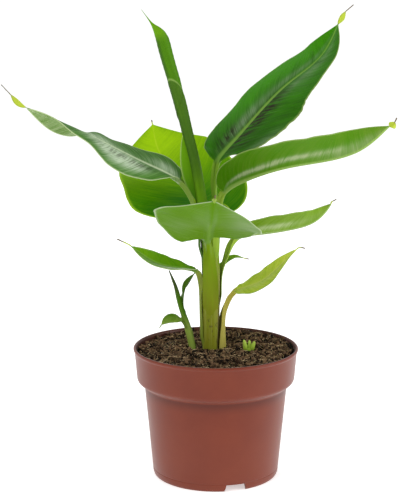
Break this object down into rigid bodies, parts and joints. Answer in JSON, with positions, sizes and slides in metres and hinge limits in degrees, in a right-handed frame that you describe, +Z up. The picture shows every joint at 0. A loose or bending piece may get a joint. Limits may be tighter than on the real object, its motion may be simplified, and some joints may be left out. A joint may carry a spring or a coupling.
{
  "type": "potted banana plant",
  "caption": "Young banana plant with broad patterned leaves, a rolled new leaf and small side shoots, rooted in soil in a round plastic nursery pot with a collar.",
  "frame": {"origin": "centre of the pot's base, on the flat floor pad that the pot stands on", "axes": "+Z up the plant, +X to the right of the pictured front, +Y away from the viewer"},
  "size_m": [0.2696, 0.2268, 0.3401],
  "materials": {
    "pot": "satin moulded plastic",
    "soil": "moist crumbly peat",
    "pseudostem": "smooth, faint upright fibres",
    "spear_leaf": "satin leaf",
    "leaf_top_right": "satin leaf with dark markings",
    "leaf_right": "matt leaf underside",
    "leaf_front": "matt leaf underside",
    "leaf_lower_right": "matt leaf underside",
    "leaf_left": "satin leaf with dark markings",
    "leaf_back": "satin leaf, thin enough to glow",
    "leaf_left_small": "satin leaf",
    "leaf_right_small": "satin leaf",
    "leaf_back_small": "satin leaf",
    "side_shoot": "satin leaf and stem",
    "cut_shoot": "smooth pale stem"
  },
  "bodies": {
    "root": {"pot": "pot", "soil": "soil", "pseudostem": "pseudostem", "spear_leaf": "spear_leaf", "leaf_top_right": "leaf_top_right", "leaf_right": "leaf_right", "leaf_front": "leaf_front", "leaf_lower_right": "leaf_lower_right", "leaf_left": "leaf_left", "leaf_back": "leaf_back", "leaf_left_small": "leaf_left_small", "leaf_right_small": "leaf_right_small", "leaf_back_small": "leaf_back_small", "side_shoot": "side_shoot", "cut_shoot": "cut_shoot"}
  },
  "joints": []
}
